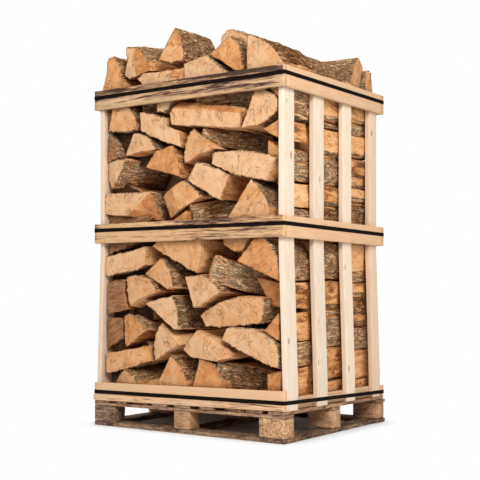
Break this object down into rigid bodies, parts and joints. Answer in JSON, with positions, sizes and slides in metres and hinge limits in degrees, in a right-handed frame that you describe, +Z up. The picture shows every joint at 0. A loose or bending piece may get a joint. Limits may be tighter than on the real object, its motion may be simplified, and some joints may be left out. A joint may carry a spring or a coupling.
{
  "type": "pallet of firewood",
  "caption": "Split logs stacked in an open-fronted slatted softwood crate with a heap above its top rails, on a block pallet and held by plastic straps.",
  "frame": {"origin": "on the ground, under the middle of the pallet's length and depth", "axes": "+X along the pallet's 1.2 m length, -Y out of the open front where the log ends show, +Z up"},
  "size_m": [1.216, 1.0026, 2.045],
  "materials": {
    "pallet_wood": "rough sawn softwood, weathered grey-brown",
    "pressed_chip": "pressed wood chips, coarse",
    "weathered_rail": "softwood with brown and black weather streaks",
    "fresh_board": "fresh pale sawn softwood with small knots",
    "strapping": "black polyester strap, slightly shiny",
    "firewood": "split hardwood, sawn ends, furrowed brown bark"
  },
  "bodies": {
    "root": {"base_board_front": "pallet_wood", "base_board_back": "pallet_wood", "base_board_left": "pallet_wood", "base_board_middle": "pallet_wood", "base_board_right": "pallet_wood", "block_front_left": "pallet_wood", "block_front_middle": "pallet_wood", "block_front_right": "pressed_chip", "block_middle_left": "pallet_wood", "block_middle_middle": "pallet_wood", "block_middle_right": "pallet_wood", "block_back_left": "pallet_wood", "block_back_middle": "pallet_wood", "block_back_right": "pallet_wood", "stringer_front": "pallet_wood", "stringer_middle": "pallet_wood", "stringer_back": "pallet_wood", "deck_board_1": "pallet_wood", "deck_board_2": "pallet_wood", "deck_board_3": "pallet_wood", "deck_board_4": "pallet_wood", "deck_board_5": "pallet_wood", "deck_board_6": "pallet_wood", "deck_board_7": "pallet_wood", "deck_board_8": "pallet_wood", "deck_board_9": "pallet_wood", "foot_rail_front_lower": "weathered_rail", "foot_rail_front_upper": "fresh_board", "foot_rail_back": "fresh_board", "foot_rail_left": "fresh_board", "foot_rail_right": "fresh_board", "middle_rail_front": "weathered_rail", "middle_rail_back": "weathered_rail", "middle_rail_left": "fresh_board", "middle_rail_right": "fresh_board", "top_rail_front": "weathered_rail", "top_rail_back": "weathered_rail", "top_rail_left": "fresh_board", "top_rail_right": "fresh_board", "slat_left_1": "fresh_board", "slat_left_2": "fresh_board", "slat_left_3": "fresh_board", "slat_left_4": "fresh_board", "slat_right_1": "fresh_board", "slat_right_2": "fresh_board", "slat_right_3": "fresh_board", "slat_right_4": "fresh_board", "strap_foot": "strapping", "strap_middle": "strapping", "strap_top": "strapping", "logs_front_lower": "firewood", "logs_front_upper": "firewood", "logs_front_heap": "firewood", "logs_centre_lower": "firewood", "logs_centre_upper": "firewood", "logs_centre_heap": "firewood", "logs_back_lower": "firewood", "logs_back_upper": "firewood", "logs_back_heap": "firewood"}
  },
  "joints": []
}
